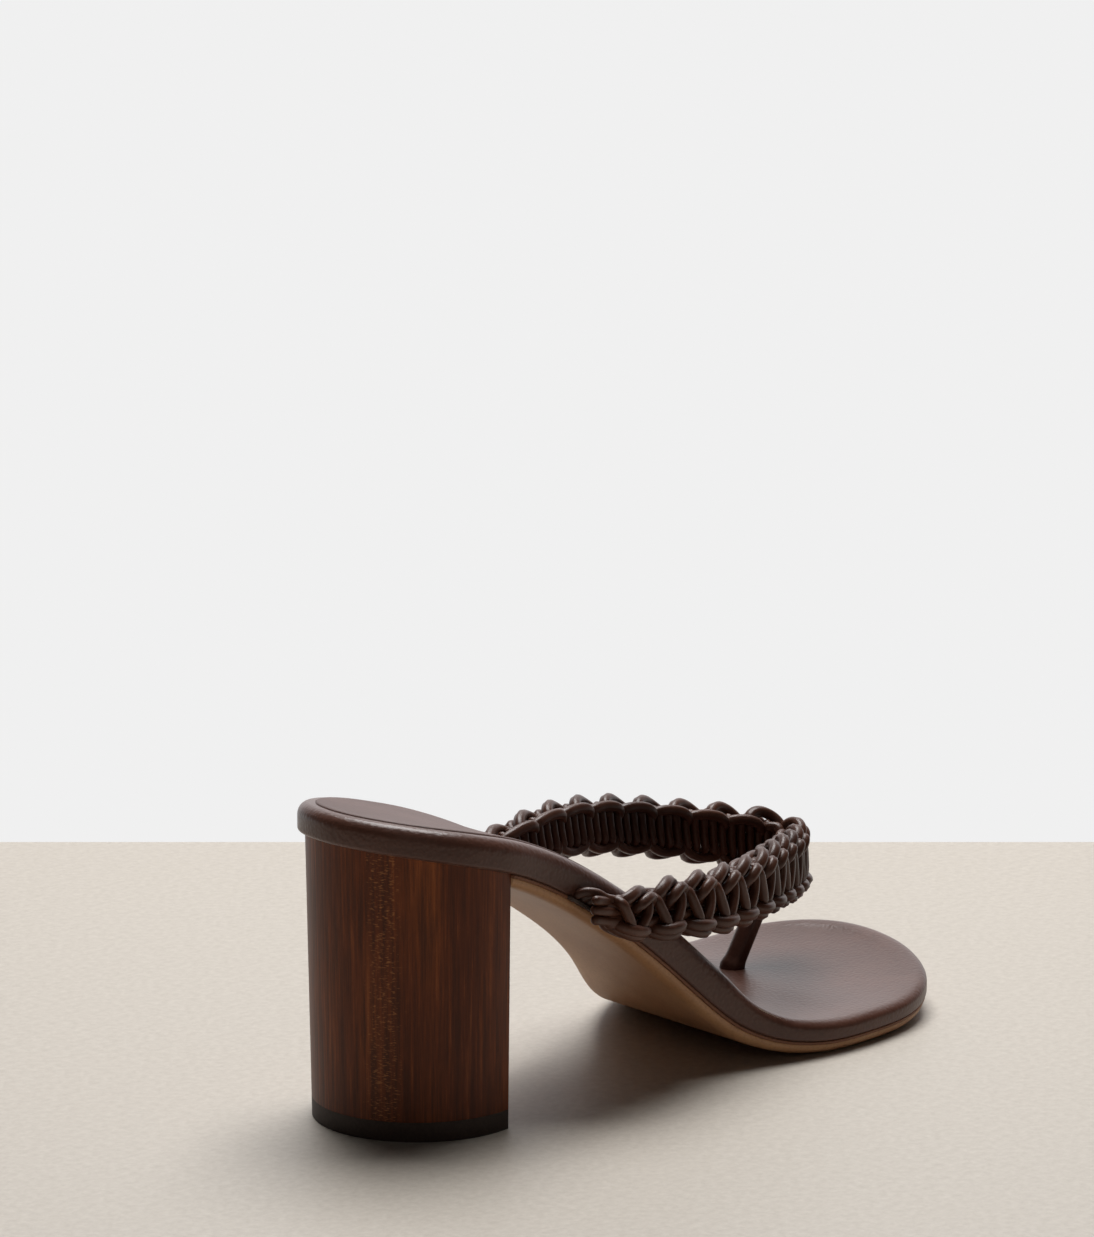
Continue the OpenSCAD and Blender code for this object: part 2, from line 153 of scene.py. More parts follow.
# %% Layer builder
def layer_grid(edge, low, high, outer_tau, inner_tau, across=24, dish=0.0):
    """Closed cross-sections from row to row. edge lists (inset, height share) from the middle
    underneath, round the rim, to the middle on top. Height is low + share * (high - low)."""
    edge = np.array(edge)
    inset, share = edge[:, 0], edge[:, 1]
    out = rim_point(-1, outer_tau[:, None], inset[None])
    inn = rim_point(1, inner_tau[:, None], inset[None])
    k = (np.arange(1, across) / across)[None, :, None]
    top = out[:, -1:, :] * (1 - k) + inn[:, -1:, :] * k
    under = inn[:, :1, :] * (1 - k) + out[:, :1, :] * k
    xy = np.concatenate([out, top, inn[:, ::-1], under], 1)
    cols = np.concatenate([share, np.full(across - 1, share[-1]), share[::-1],
                           np.full(across - 1, share[0])])
    z_low, z_high = profile_height(xy, low), profile_height(xy, high)
    z = z_low + cols[None] * (z_high - z_low)
    bowl = np.zeros(xy.shape[1])
    bowl[len(edge):len(edge) + across - 1] = np.sin(np.pi * k[0, :, 0]) ** 0.8
    width = np.linalg.norm(out[:, -1] - inn[:, -1], axis=1)[:, None]
    z = z - dish * bowl[None] * (1 - np.exp(-(width / 25) ** 2))
    return np.concatenate([xy, z[..., None]], -1)


def grid_mesh(name, grid, caps=True):
    """Mesh of a grid of points, closed round its columns, with its doubles merged and its
    faces turned outwards. Points are in millimetres."""
    rows, cols = grid.shape[:2]
    i, j = np.meshgrid(np.arange(rows - 1), np.arange(cols), indexing="ij")
    a, b = i * cols + j, i * cols + (j + 1) % cols
    faces = np.stack([a, b, b + cols, a + cols], -1).reshape(-1, 4).tolist()
    if caps:
        faces += [list(range(cols))[::-1], list(range((rows - 1) * cols, rows * cols))]
    mesh = bpy.data.meshes.new(name)
    mesh.from_pydata((grid.reshape(-1, 3) * MM).tolist(), [], faces)
    bm = bmesh.new()
    bm.from_mesh(mesh)
    bmesh.ops.remove_doubles(bm, verts=bm.verts, dist=2e-5)
    bmesh.ops.dissolve_degenerate(bm, edges=bm.edges, dist=1e-6)
    bmesh.ops.recalc_face_normals(bm, faces=bm.faces)
    bm.to_mesh(mesh)
    bm.free()
    mesh.polygons.foreach_set("use_smooth", np.ones(len(mesh.polygons), bool))
    obj = bpy.data.objects.new(name, mesh)
    bpy.context.scene.collection.objects.link(obj)
    return obj


def round_edge(r_low, r_high, thick, start, end, n=6, reach=1.0):
    """(inset, height share) round a rim: a quarter ellipse r_low high and reach times as
    wide, the side, a quarter circle of r_high, between the insets start and end."""
    a = np.linspace(0, math.pi / 2, n)
    low = np.stack([reach * r_low * (1 - np.sin(a)), r_low * (1 - np.cos(a))], -1)
    high = np.stack([r_high * (1 - np.cos(a)), thick - r_high * (1 - np.sin(a))], -1)
    line = np.concatenate([[[start, 0]], low, high, [[end, thick]]])
    line[:, 1] /= thick
    return line


ease = (1 - np.cos(np.linspace(0, math.pi, 150))) / 2
full = 17 * (0.35 * ease + 0.65 * np.linspace(0, 1, 150))
print("rows along the sole:", len(full))

# %% Wrapped footbed
cover_edge = round_edge(1.0, 3.4, 7.4, 9, 5.5, n=9)
cover = grid_mesh("footbed_wrap", layer_grid(cover_edge, 0, depth - 0.1, full, full, dish=0.7),
                  caps=False)
print("footbed wrap:", len(cover.data.polygons), "faces")

# %% Heel sock
sock_rows = np.linspace(0, 1, 90) ** 0.8
sock_edge = np.array([(4.9, 0), (4.55, 0), (4.5, 0.4), (4.6, 0.8), (5.0, 1.0), (5.8, 1.0)])
sock = grid_mesh("heel_sock", layer_grid(sock_edge, depth - 0.7, depth + 0.3,
                                         7.9 * sock_rows, 9.0 * sock_rows, dish=0.65))
print("heel sock:", len(sock.data.polygons), "faces")

# %% Outsole and runner
ahead_out, ahead_in = 3.27 + (17 - 3.27) * ease, 3.42 + (17 - 3.42) * ease
sole_edge = round_edge(2.1, 0.3, 2.8, 9, 4, n=9, reach=1.9)
sole_edge[:, 0] += 0.8
outsole = grid_mesh("leather_outsole", layer_grid(sole_edge, -3.6, -0.8, ahead_out, ahead_in))
runner_edge = round_edge(0.2, 0.2, 0.8, 6, 6)
runner_edge[:, 0] += 0.35
runner = grid_mesh("edge_runner", layer_grid(runner_edge, -0.8, 0.0, ahead_out, ahead_in))
print("outsole and runner made")

# %% [markdown]
# ## The strap's path
# The band runs from the outer side of the waist, round in front of the toe post, and back to
# the inner side. Its lower and upper edges are two curves; a place on the band is a distance
# along the middle, a share of the half height, and a distance out from the middle.

# %% Band frame
low = catmull([(34, -34.4, 46.5), (46, -34.6, 42.4), (59.8, -34.5, 40.9), (74.6, -31.9, 38),
               (91.1, -26.3, 36.2), (109, -19, 34.4), (131, -7.8, 31.7), (149, 2.2, 29.2),
               (162.5, 12.8, 28.2), (159, 21, 30.8), (147.5, 25.6, 34.2), (135, 27.6, 37.8),
               (122, 28.6, 41), (107, 28.6, 44.2), (92, 27, 47), (76, 23.8, 49),
               (61, 20.8, 49.6), (46.5, 20, 50)], 40)
high = catmull([(34, -33.5, 57), (46, -32.6, 55.8), (59.8, -30.4, 55.7), (74.8, -28, 54.5),
                (91.5, -23.9, 53.5), (109, -18.4, 52.5), (131, -7.2, 50.9), (148.5, 2.4, 49),
                (161.2, 12.6, 48.4), (157.6, 20.6, 50.2), (146.2, 25.6, 52.6), (134, 28.4, 55),
                (121, 30, 57.8), (106, 30.2, 60.8), (91, 28.8, 63), (75, 25.8, 64.2),
                (60, 22.6, 63.6), (46.5, 20.6, 61.4)], 40)
middle = (low + high) / 2
run = np.concatenate([[0], np.cumsum(np.linalg.norm(np.diff(middle, axis=0), axis=1))])
KNOTS = 20
PITCH = run[-1] / KNOTS
CORD = 2.5
share = np.linspace(0, 1, 201)
spread = np.cumsum(1 - 0.3 * np.exp(-((share - 0.47) / 0.13) ** 2))
spread = (spread - spread[0]) / (spread[-1] - spread[0]) * run[-1]


def knot_place(count):
    """Distance along the band for a count of knots. They sit closer round the bend, by a
    bell curve, and carry on evenly past both ends."""
    past = np.minimum(count, 0) + np.maximum(count - KNOTS, 0)
    return np.interp(count / KNOTS, share, spread) + past * PITCH


def band_point(s, z, y):
    """Point on the band: distance s along its middle, z half heights up, y cords outwards.
    Outwards is the run direction crossed with up."""
    def at(a):
        return np.stack([np.interp(s, run, a[:, k]) for k in range(3)], -1)
    before, after = at(middle), at(high)
    ahead = unit(np.gradient(middle, run, axis=0))
    smooth = np.stack([np.convolve(np.pad(ahead[:, k], 12, "edge"), np.ones(25) / 25, "valid")
                       for k in range(3)], -1)
    along = unit(at(smooth))
    up = after - before
    out = unit(np.cross(along, up))
    over = np.maximum(s - run[-1], 0) + np.minimum(s, 0)
    return before + over[..., None] * along + z[..., None] * up + y[..., None] * CORD * out


print("band length", round(run[-1], 1), "mm, pitch", round(PITCH, 2), "mm")

# %% [markdown]
# ## Cords
# A cord is a tube: a circle carried along a curve. The circle's own axes must not spin, so
# each ring takes over the last ring's axes, turned by as little as the curve bends. The
# cords are rolled leather, so one narrow groove runs along each, and the ends are rounded.

# %% Tube builder
SIDES = 14


def tubes(name, paths, radius, steps=5):
    """Tubes round many curves at once. paths is (cords, points, 3); radius is one number or
    one for each cord. A ring's points are centre + radius * (cos a * first axis + sin a *
    second axis), and the end rings shrink."""
    line = catmull(paths, steps)
    ahead = unit(np.gradient(line, axis=1))
    first = np.zeros_like(line)
    seed = np.where(np.abs(ahead[:, 0, 2:3]) < 0.9, [[0, 0, 1.0]], [[1.0, 0, 0]])
    first[:, 0] = unit(np.cross(ahead[:, 0], seed))
    for k in range(1, line.shape[1]):
        kept = first[:, k - 1]
        first[:, k] = unit(kept - np.sum(kept * ahead[:, k], -1, keepdims=True) * ahead[:, k])
    second = np.cross(ahead, first)
    cap = np.array([0.0, 0.55, 0.86])
    size = np.ones(line.shape[1] + 6)
    size[:3], size[-3:] = cap, cap[::-1]
    lift = np.zeros(line.shape[1] + 6)
    lift[:3], lift[-3:] = [-1.0, -0.83, -0.5], [0.5, 0.83, 1.0]
    pick = np.concatenate([[0, 0, 0], np.arange(line.shape[1]), [line.shape[1] - 1] * 3])
    angle = 2 * math.pi * np.arange(SIDES) / SIDES
    groove = np.ones(SIDES)
    groove[0] = 0.86
    r = np.broadcast_to(np.asarray(radius, float), line.shape[:1])[:, None, None, None]
    ring = (first[:, pick, None] * (np.cos(angle) * groove)[:, None]
            + second[:, pick, None] * (np.sin(angle) * groove)[:, None])
    verts = line[:, pick, None] + r * (ring * size[None, :, None, None]
                                       + (ahead[:, pick] * lift[None, :, None])[:, :, None])
    count, rows = verts.shape[:2]
    c, i, j = np.meshgrid(np.arange(count), np.arange(rows - 1), np.arange(SIDES), indexing="ij")
    a = (c * rows + i) * SIDES + j
    b = (c * rows + i) * SIDES + (j + 1) % SIDES
    faces = np.stack([a, a + SIDES, b + SIDES, b], -1).reshape(-1, 4)
    mesh = bpy.data.meshes.new(name)
    mesh.from_pydata((verts.reshape(-1, 3) * MM).tolist(), [], faces.tolist())
    bm = bmesh.new()
    bm.from_mesh(mesh)
    bmesh.ops.remove_doubles(bm, verts=bm.verts, dist=1e-7)
    bmesh.ops.recalc_face_normals(bm, faces=bm.faces)
    bm.to_mesh(mesh)
    bm.free()
    mesh.polygons.foreach_set("use_smooth", np.ones(len(mesh.polygons), bool))
    obj = bpy.data.objects.new(name, mesh)
    bpy.context.scene.collection.objects.link(obj)
    return obj


def stitch(units, shape):
    """The same stretch of cord on many knots: shape lists (pitches along, half heights up,
    cords out) from the knot's middle."""
    shape = np.array(shape)
    s = knot_place(units[:, None] + 0.5 + shape[None, :, 0])
    z = np.broadcast_to(shape[None, :, 1], s.shape)
    y = np.broadcast_to(shape[None, :, 2], s.shape)
    return band_point(s, z, y)


def same_length(groups, points=9):
    """Curves with different numbers of points, resampled to one number so that they stack."""
    done = []
    for g in groups:
        dense = catmull(g, 8)
        pick = np.linspace(0, dense.shape[1] - 1, points).round().astype(int)
        done.append(dense[:, pick])
    return np.concatenate(done)


units = np.arange(KNOTS, dtype=float)
print("tube sides:", SIDES, "knots:", len(units))

# %% Upper cord
picot = [(-0.26, 0.30, -0.2), (-0.20, 0.50, 0.5), (-0.02, 0.72, 0.8), (0.24, 0.84, 0.45),
         (0.48, 0.77, -0.1), (0.62, 0.58, -0.6), (0.64, 0.36, -0.9)]
bump = [(0.12, 0.14, 0.4), (0.18, 0.36, 1.2), (0.34, 0.55, 1.4), (0.52, 0.55, 1.1),
        (0.60, 0.34, 0.5)]
inner_bar = [(1.26, 0.34, -0.5), (1.14, 0.51, -1.05), (0.80, 0.61, -1.3), (0.50, 0.59, -1.5),
             (0.34, 0.44, -1.35), (0.30, 0.28, -0.8)]
wrap_back = [(0, 0.56, -0.3), (0, 0.45, -0.98), (0.02, 0, -1.1), (0, -0.52, -1.0),
             (0, -0.66, -0.3)]


def shifted(shape, dx):
    """The same stretch moved along the band."""
    return [(x + dx, z, y) for x, z, y in shape]


upper = tubes("upper_cord", same_length(
    [stitch(units, picot), stitch(units, bump), stitch(units[:-1], inner_bar),
     stitch(units, shifted(wrap_back, -0.375)), stitch(units, shifted(wrap_back, 0.125))]),
    np.repeat([1.6, 1.4, 1.5, 1.25], [KNOTS, KNOTS, KNOTS - 1, 2 * KNOTS]))
print("upper cord:", len(upper.data.polygons), "faces")

# %% Lower cord
leg_back = [(-0.32, 0.52, 0.3), (-0.31, 0.36, 0.98), (-0.22, -0.05, 1.08), (-0.12, -0.5, 1.0),
            (-0.10, -0.76, 0.4)]
leg_front = [(0.40, 0.50, 0.3), (0.40, 0.34, 1.0), (0.33, -0.05, 1.12), (0.15, -0.5, 1.02),
             (0.10, -0.76, 0.4)]
cup = [(-0.28, -0.50, -0.5), (-0.31, -0.64, 0.3), (-0.20, -0.72, 1.15), (0.02, -0.74, 1.4),
       (0.23, -0.70, 1.15), (0.32, -0.60, 0.3), (0.28, -0.48, -0.5)]
low_picot = [(-0.36, -0.52, -1.0), (-0.36, -0.74, -0.4), (-0.22, -0.90, 0.4), (0.02, -0.96, 0.7),
             (0.24, -0.88, 0.4), (0.36, -0.72, -0.4), (0.36, -0.50, -1.0)]
under_arc = [(-0.52, -0.50, -0.8), (-0.42, -0.72, -1.0), (0.0, -0.86, -0.9), (0.34, -0.74, -1.0),
             (0.46, -0.50, -0.8)]
lower = tubes("lower_cord", same_length(
    [stitch(units, leg_back), stitch(units, leg_front), stitch(units, cup),
     stitch(units, low_picot), stitch(units, under_arc),
     stitch(units, shifted(wrap_back, -0.125)), stitch(units, shifted(wrap_back, 0.375))]),
    np.repeat([1.4, 1.4, 1.55, 1.4, 1.25], [KNOTS, KNOTS, KNOTS, KNOTS, 3 * KNOTS]))
print("lower cord:", len(lower.data.polygons), "faces")

# %% Filler cords
filler_s = np.linspace(-0.02, 1.0, 90) * run[-1]
wave = 0.18 * np.sin(filler_s / PITCH * 2 * math.pi + np.array([[0], [2.1], [4.2]]))
filler_z = np.array([[-1], [0], [1]]) * 1.02 * CORD
half = np.interp(filler_s, run, np.linalg.norm(high - low, axis=1) / 2)
fillers = tubes("filler_cords", band_point(np.broadcast_to(filler_s, (3, 90)), filler_z / half,
                                           wave), CORD / 2, steps=2)
print("filler cords:", len(fillers.data.polygons), "faces")

# %% [markdown]
# ## Strap ends
# At both ends the cords lie side by side on the wrapped edge and go down into the seam
# between the footbed and the outsole, where they are glued.


# %% Tail cords
def tail_paths(sign, count=5):
    """Cords from the band's end to the seam, fanned along the shoe and pressed to its side."""
    k = np.linspace(-1, 1, count)[:, None]
    end = 0.0 if sign < 0 else run[-1]
    s = np.full(count, end)
    inward = 1 if sign < 0 else -1
    start = band_point(s + inward * 0.35 * PITCH, k[:, 0] * 0.5, np.full(count, 0.1))
    leave = band_point(s, k[:, 0] * 0.62, np.full(count, -0.2))
    seam_x = (37.5 if sign > 0 else 32.0) - 4.2 * k[:, 0]
    rim_y = np.array([rim[np.argmin(np.hypot(rim[:, 0] - x, (rim[:, 1] < 0) * 1e3 * (sign > 0)
                                             + (rim[:, 1] > 0) * 1e3 * (sign < 0))), 1]
                      for x in seam_x])
    foot = np.stack([seam_x, rim_y, np.zeros(count)], -1)
    foot[:, 2] = profile_height(foot[:, :2], 0) + 0.3
    over = foot + np.stack([np.full(count, 1.4), np.full(count, sign * 1.5),
                            np.full(count, 1.6)], -1)
    mid = (over + leave) / 2 + np.stack([np.zeros(count), np.full(count, sign * 0.4),
                                         0.6 * k[:, 0]], -1)
    inside = foot - np.array([0.8, sign * 2.2, 0.4])
    return np.stack([inside, over, mid, leave, start], 1)


outer_tails = tubes("outer_tails", tail_paths(-1), CORD / 2, steps=6)
inner_tails = tubes("inner_tails", tail_paths(1), CORD / 2, steps=6)
print("tail cords made")

# %% [markdown]
# ## Toe post
# A folded strip of leather makes the post. It leans forward from the footbed to the strap and
# widens where it takes hold of the filler cords.

# %% Toe post
foot, head = np.array([137.9, 16.6, 3.7]), np.array([153.4, 11.8, 36.4])
lean = unit(head - foot)


def post_surface(name, t, radius, squash, ridge):
    """Rings round the post's axis: radius by height, flattened across, with a narrow lap
    seam whose bump falls off with the angle squared."""
    a = np.linspace(0, 2 * math.pi, 48, endpoint=False)
    across = unit(np.cross(lean, [0, 1.0, 0]))
    deep = np.cross(across, lean)
    lap = ridge * np.exp(-((a - 5.3) / 0.28) ** 2)
    r = radius[:, None] * (1 + 0.02 * np.sin(3 * a + t[:, None] * 0.2)) + lap
    centre = foot + lean * t[:, None]
    grid = (centre[:, None] + (r * np.cos(a) * squash)[..., None] * across
            + (r * np.sin(a))[..., None] * deep)
    return grid_mesh(name, grid)


post_len = np.linalg.norm(head - foot)
t = np.linspace(0.5, post_len - 0.5, 60)
post_r = 3.1 + 0.5 * np.exp(-((t - 5.5) / 1.6) ** 2) + 0.55 * (t / post_len) ** 6 \
    - 0.12 * np.sin(math.pi * t / post_len)
post = post_surface("post_sleeve", t, post_r, 1.0, 0.35)
t = np.linspace(post_len - 5.5, post_len + 3.5, 26)
collar_r = 3.75 + 0.35 * np.sin(np.linspace(0, math.pi, 26))
collar = post_surface("post_collar", t, collar_r, 1.05, 0.25)
print("toe post made")

# %% [markdown]
# ## Materials
# Each finish is a small node tree on Object coordinates, so a pattern has its real size in
# metres. A helper adds nodes by type and joins them, and numbers that are the same all over
# go straight on the shader's own sockets.


# %% Material helpers
def start_material(name, roughness, specular=0.5, coat=0.0, coat_roughness=0.3):
    """New material with a Principled shader; returns it with its nodes, links and shader."""
    mat = bpy.data.materials.new(name)
    mat.use_nodes = True
    tree = mat.node_tree
    shader = tree.nodes["Principled BSDF"]
    shader.inputs["Roughness"].default_value = roughness
    shader.inputs["Specular IOR Level"].default_value = specular
    shader.inputs["Coat Weight"].default_value = coat
    shader.inputs["Coat Roughness"].default_value = coat_roughness
    return mat, tree, shader


def add(tree, kind, inputs=None, **settings):
    """Adds a node, sets its options and its inputs, and returns it. An input may be a number,
    a colour, or another node's output."""
    node = tree.nodes.new(kind)
    for key, value in settings.items():
        setattr(node, key, value)
    for key, value in (inputs or {}).items():
        if isinstance(value, bpy.types.NodeSocket):
            tree.links.new(value, node.inputs[key])
        else:
            node.inputs[key].default_value = value
    return node


def place(tree, scale=(1, 1, 1)):
    """Object coordinates, stretched."""
    coords = add(tree, "ShaderNodeTexCoord").outputs["Object"]
    return add(tree, "ShaderNodeMapping", {"Vector": coords, "Scale": scale}).outputs[0]


def noise(tree, where, scale, detail=3, rough=0.5):
    """Noise value at a place."""
    return add(tree, "ShaderNodeTexNoise", {"Vector": where, "Scale": scale, "Detail": detail,
                                            "Roughness": rough}).outputs["Fac"]


def ramp(tree, value, *stops):
    """Colour by value: stops are (position, (r, g, b))."""
    node = add(tree, "ShaderNodeValToRGB", {"Fac": value})
    points = node.color_ramp.elements
    while len(points) < len(stops):
        points.new(0.5)
    for point, (position, colour) in zip(points, stops):
        point.position = position
        point.color = (*colour, 1)
    return node.outputs["Color"]


def mix(tree, factor, a, b):
    """Two colours mixed by a factor."""
    node = add(tree, "ShaderNodeMix", data_type="RGBA")
    for socket, value in ((node.inputs[0], factor), (node.inputs[6], a), (node.inputs[7], b)):
        if isinstance(value, bpy.types.NodeSocket):
            tree.links.new(value, socket)
        else:
            socket.default_value = value if isinstance(value, (int, float)) else (*value, 1)
    return node.outputs[2]


def bump_map(tree, shader, height, distance):
    """Bump from a height, in metres at full strength."""
    node = add(tree, "ShaderNodeBump", {"Height": height, "Distance": distance, "Strength": 1.0})
    tree.links.new(node.outputs[0], shader.inputs["Normal"])


print("material helpers ready")

# %% Leathers
def leather(name, dark, light, pebble=0.0008, depth_mm=0.06, roughness=0.42, crease=0.3):
    """Smooth calf leather: soft patches of colour, tiny pebbles, and fine creases."""
    mat, tree, shader = start_material(name, roughness, 0.42, 0.0, 0.35)
    where = place(tree)
    patch = noise(tree, where, 45, 4)
    tint = ramp(tree, patch, (0.3, dark), (0.72, light))
    cells = {"Vector": where, "Scale": 1 / pebble, "Randomness": 1.0}
    grain = add(tree, "ShaderNodeTexVoronoi", cells, feature="SMOOTH_F1").outputs["Distance"]
    fold = noise(tree, where, 0.35 / pebble, 4, 0.6)
    tint = mix(tree, ramp(tree, grain, (0.35, (0, 0, 0)), (0.85, (0.35, 0.35, 0.35))), tint,
               tuple(c * 0.55 for c in dark))
    tree.links.new(tint, shader.inputs["Base Color"])
    height = add(tree, "ShaderNodeMath", {0: fold, 1: crease}, operation="MULTIPLY").outputs[0]
    height = add(tree, "ShaderNodeMath", {0: height, 1: grain}, operation="SUBTRACT").outputs[0]
    bump_map(tree, shader, height, depth_mm * MM)
    return mat


WRAP_DARK, WRAP_LIGHT = (0.076, 0.029, 0.018), (0.115, 0.048, 0.032)
wrap_leather = leather("wrap_leather", WRAP_DARK, WRAP_LIGHT, 0.0009, 0.09, 0.36)
sock_leather = leather("sock_leather", (0.085, 0.042, 0.033), (0.125, 0.066, 0.054), 0.0008, 0.07,
                       0.58)
cord_leather = leather("cord_leather", (0.050, 0.017, 0.009), (0.105, 0.038, 0.020), 0.0005, 0.03,
                       0.40, 0.5)
tan_leather = leather("tan_leather", (0.40, 0.20, 0.095), (0.50, 0.28, 0.145), 0.0006, 0.015, 0.5)
edge_leather = leather("edge_leather", (0.16, 0.060, 0.028), (0.26, 0.11, 0.055), 0.0004, 0.03, 0.6)
print("leathers:", [m.name for m in (wrap_leather, sock_leather, cord_leather, tan_leather)])


# %% Stained beech
def stained_wood():
    """Long fibres up the heel, dark and light, and the short pale flecks that beech shows.
    The flecks are made denser in an upright strip in the middle of the heel as the camera
    sees it, and that strip is a painted highlight."""
    mat, tree, shader = start_material("stained_beech", 0.45, 0.25, 0.05, 0.3)
    fibre = noise(tree, place(tree, (1, 1, 0.035)), 900, 5, 0.7)
    broad = noise(tree, place(tree, (1, 1, 0.15)), 75, 3, 0.55)
    tint = ramp(tree, broad, (0.28, (0.120, 0.024, 0.005)), (0.55, (0.195, 0.044, 0.008)),
                (0.78, (0.30, 0.078, 0.014)))
    tint = mix(tree, ramp(tree, fibre, (0.38, (0.8, 0.8, 0.8)), (0.60, (0, 0, 0))), tint,
               (0.060, 0.014, 0.004))
    tint = mix(tree, ramp(tree, fibre, (0.58, (0, 0, 0)), (0.75, (0.55, 0.55, 0.55))), tint,
               (0.42, 0.135, 0.036))
    fleck = noise(tree, place(tree, (0.5, 0.5, 2.0)), 1700, 2, 0.4)
    # Painted highlight: the flecks are brightened in an upright strip in the middle of the heel as
    # the camera sees it.
    across = add(tree, "ShaderNodeVectorMath", {0: place(tree), 1: (0.682, -0.731, 0)},
                 operation="DOT_PRODUCT").outputs["Value"]
    away = add(tree, "ShaderNodeMath", {0: across, 1: 0.008}, operation="ADD").outputs[0]
    away = add(tree, "ShaderNodeMath", {0: away}, operation="ABSOLUTE").outputs[0]
    away = add(tree, "ShaderNodeMath", {0: away, 1: 60.0}, operation="MULTIPLY").outputs[0]
    highlight_band = ramp(tree, away,
                (0.15, (1, 1, 1)), (0.62, (0.35, 0.35, 0.35)))
    pale = add(tree, "ShaderNodeMath", {0: fleck, 1: highlight_band}, operation="MULTIPLY").outputs[0]
    tint = mix(tree, ramp(tree, pale, (0.55, (0, 0, 0)), (0.68, (0.6, 0.6, 0.6))), tint,
               (0.50, 0.20, 0.065))
    tree.links.new(tint, shader.inputs["Base Color"])
    bump_map(tree, shader, fibre, 0.00003)
    return mat


wood = stained_wood()
print("wood:", wood.name)


# %% Rubber, board, foam, webbing and steel
def plain_finish(name, dark, light, scale, roughness, depth, metallic=0.0, stretch=(1, 1, 1)):
    """A finish with one grain: noise of a given size tints it and raises it a little."""
    mat, tree, shader = start_material(name, roughness)
    shader.inputs["Metallic"].default_value = metallic
    grain = noise(tree, place(tree, stretch), scale, 4, 0.6)
    tree.links.new(ramp(tree, grain, (0.35, dark), (0.7, light)), shader.inputs["Base Color"])
    bump_map(tree, shader, grain, depth)
    return mat


rubber = plain_finish("dark_rubber", (0.030, 0.017, 0.012), (0.050, 0.029, 0.021), 1500, 0.62, 3e-5)
board = plain_finish("fibre_board", (0.20, 0.12, 0.07), (0.34, 0.22, 0.14), 900, 0.85, 5e-5)
foam = plain_finish("latex_foam", (0.62, 0.54, 0.42), (0.78, 0.70, 0.58), 1800, 0.9, 8e-5)
webbing = plain_finish("webbing", (0.05, 0.035, 0.03), (0.12, 0.09, 0.075), 1300, 0.8, 9e-5,
                       stretch=(1, 0.4, 1))
steel = plain_finish("spring_steel", (0.42, 0.43, 0.45), (0.58, 0.59, 0.61), 700, 0.32, 1e-5, 1.0,
                     (0.05, 1, 1))
print("finishes:", [m.name for m in (rubber, board, foam, webbing, steel)])

# %% [markdown]
# ## Put every finish on its piece
# A imported node keeps its mesh and takes the finish in its material slots. A new piece rides on
# the only body, and the node that it replaces is hidden.

# %% Assign
kept = {"heel_block": wood, "heel_top_piece": rubber, "top_piece_dowels": rubber,
        "heel_screw": steel, "heel_nails": steel, "insole_board": board, "shank_board": board,
        "steel_shank": steel, "shank_rivets": steel, "footbed_foam": foam,
        "toe_post_core": cord_leather, "toe_post_anchor": webbing, "outer_anchor_tab": webbing,
        "inner_anchor_tab": webbing}
for name, finish in kept.items():
    nodes[name].data.materials.clear()
    nodes[name].data.materials.append(finish)
made = [(cover, wrap_leather, "brown_leather", "footbed_cover"),
        (sock, sock_leather, "lining_leather", "sock_lining"),
        (outsole, tan_leather, "tan_leather", "outsole"),
        (runner, edge_leather, "edge_leather", "runner"),
        (upper, cord_leather, "cord_leather", "strap_upper_cord"),
        (lower, cord_leather, "cord_leather", "strap_lower_cord"),
        (fillers, cord_leather, "cord_leather", "strap_filler_cords"),
        (outer_tails, cord_leather, "cord_leather", "outer_tail_cords"),
        (inner_tails, cord_leather, "cord_leather", "inner_tail_cords"),
        (post, wrap_leather, "brown_leather", "toe_post_sleeve"),
        (collar, wrap_leather, "brown_leather", "toe_post_loop")]
for piece, finish, slot, node in made:
    piece.data.materials.append(finish)
    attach(piece, "root")
    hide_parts(node)
print("kept nodes:", len(kept), "new pieces:", len(made))

# %% [markdown]
# ## Floor and light
# The shoe stands on a plain pale floor. Past FLOOR_END, measured from the camera along the
# ground, the floor glows evenly and reads as a white wall. One large soft light hangs above
# and behind, a glow low in the sky gives the leather its sheen at flat angles, and a weak
# fill comes from the front.

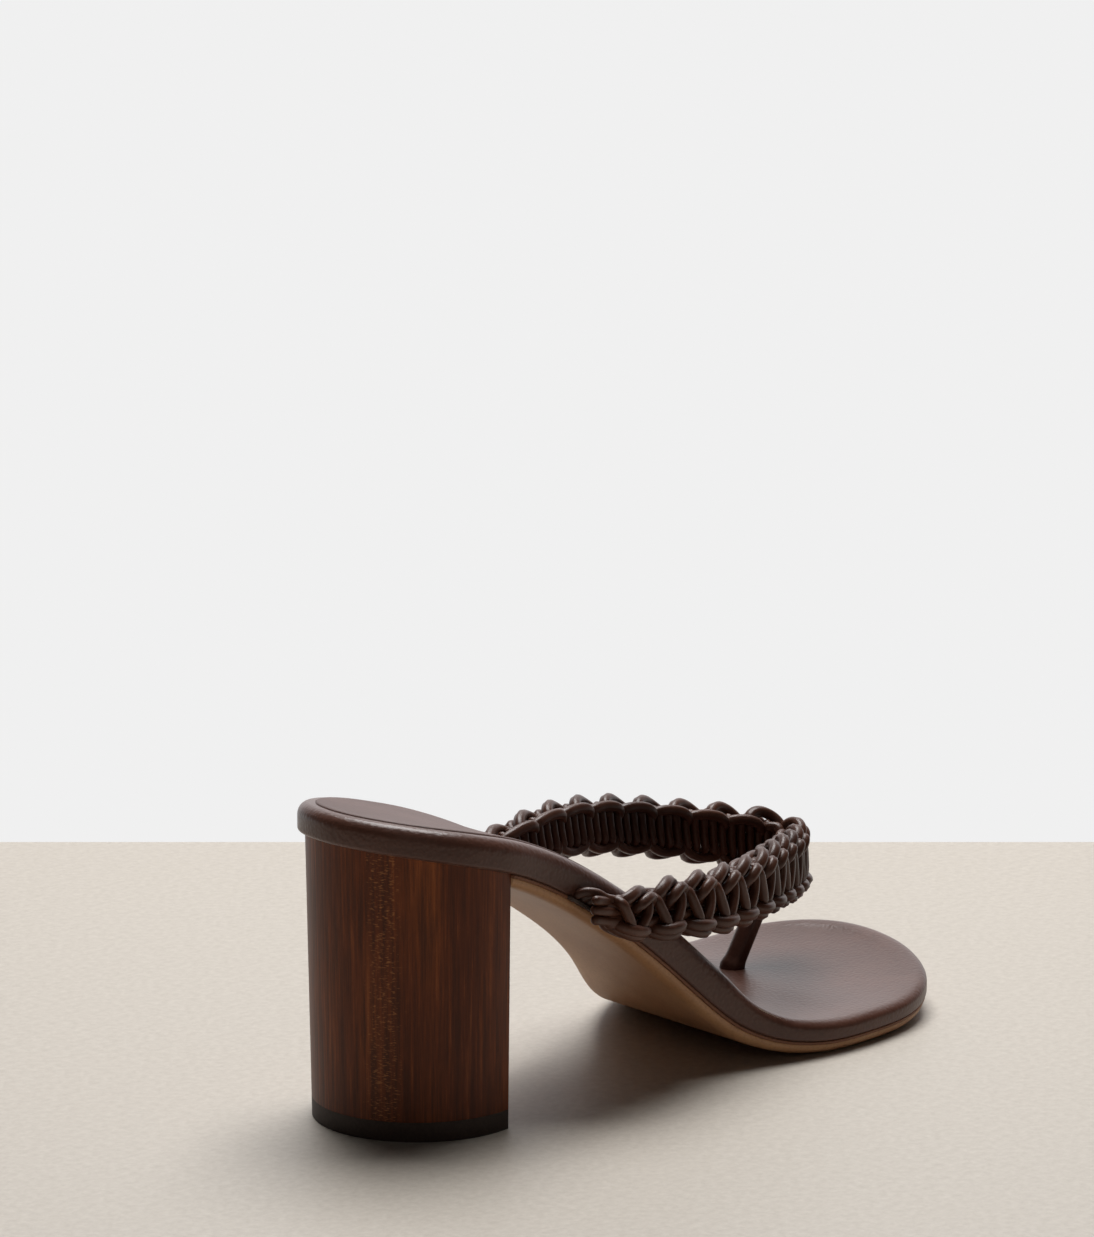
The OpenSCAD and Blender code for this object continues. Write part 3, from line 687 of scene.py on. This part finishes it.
# %% Floor
FLOOR_END = 1.406
CAMERA_BACK = 1.1034
floor_mesh = bpy.data.meshes.new("floor")
floor_mesh.from_pydata([(-8, -8, 0), (8, -8, 0), (8, 8, 0), (-8, 8, 0)], [], [(0, 1, 2, 3)])
floor = bpy.data.objects.new("floor", floor_mesh)
bpy.context.scene.collection.objects.link(floor)
mat, tree, shader = start_material("floor_paper", 0.55)
where = place(tree)
speck = noise(tree, where, 420, 4, 0.7)
beige = ramp(tree, speck, (0.3, (0.47, 0.42, 0.36)), (0.7, (0.56, 0.51, 0.445)))
view_dir = (math.sin(math.radians(47)), math.cos(math.radians(47)), 0)
far = add(tree, "ShaderNodeVectorMath", {0: where, 1: view_dir}, operation="DOT_PRODUCT")
past = add(tree, "ShaderNodeMath", {0: far.outputs["Value"], 1: FLOOR_END - CAMERA_BACK},
           operation="GREATER_THAN")
tree.links.new(mix(tree, past.outputs[0], beige, (0, 0, 0)), shader.inputs["Base Color"])
tree.links.new(mix(tree, past.outputs[0], (0, 0, 0), (0.872, 0.872, 0.872)),
               shader.inputs["Emission Color"])
shader.inputs["Emission Strength"].default_value = 1.0
gloss = add(tree, "ShaderNodeMath", {0: 0.5, 1: past.outputs[0]}, operation="SUBTRACT",
            use_clamp=True)
tree.links.new(gloss.outputs[0], shader.inputs["Specular IOR Level"])
bump_map(tree, shader, speck, 6e-5)
floor_mesh.materials.append(mat)
print("floor made")


# %% Lights
def soft_light(name, spot, aim, size, watts, tint=(1, 1, 1)):
    """A square area light at a spot, turned to face a point."""
    data = bpy.data.lights.new(name, "AREA")
    data.size, data.energy, data.color = size, watts, tint
    lamp = bpy.data.objects.new(name, data)
    lamp.location = spot
    lamp.rotation_euler = (Vector(aim) - Vector(spot)).to_track_quat("-Z", "Y").to_euler()
    bpy.context.scene.collection.objects.link(lamp)


soft_light("key", (0.50, 0.36, 1.4), (0.08, 0, 0.03), 0.95, 30)
soft_light("fill", (-1.0, -1.1, 0.75), (0.08, 0, 0.04), 0.9, 0.6, (1.0, 0.88, 0.76))
world = bpy.data.worlds.new("world")
world.use_nodes = True
sky = world.node_tree
toward = add(sky, "ShaderNodeVectorMath",
             {0: add(sky, "ShaderNodeTexCoord").outputs["Generated"], 1: view_dir},
             operation="DOT_PRODUCT").outputs["Value"]
glow = add(sky, "ShaderNodeMapRange", {"Value": toward, "From Min": 0.55, "From Max": 0.97,
                                       "To Min": 0.02, "To Max": 1.25},
           interpolation_type="SMOOTHSTEP")
sky.links.new(glow.outputs["Result"], sky.nodes["Background"].inputs["Strength"])
sky.nodes["Background"].inputs["Color"].default_value = (0.96, 0.95, 0.97, 1)
bpy.context.scene.world = world
bpy.context.scene.view_settings.view_transform = "Standard"
print("lights set")
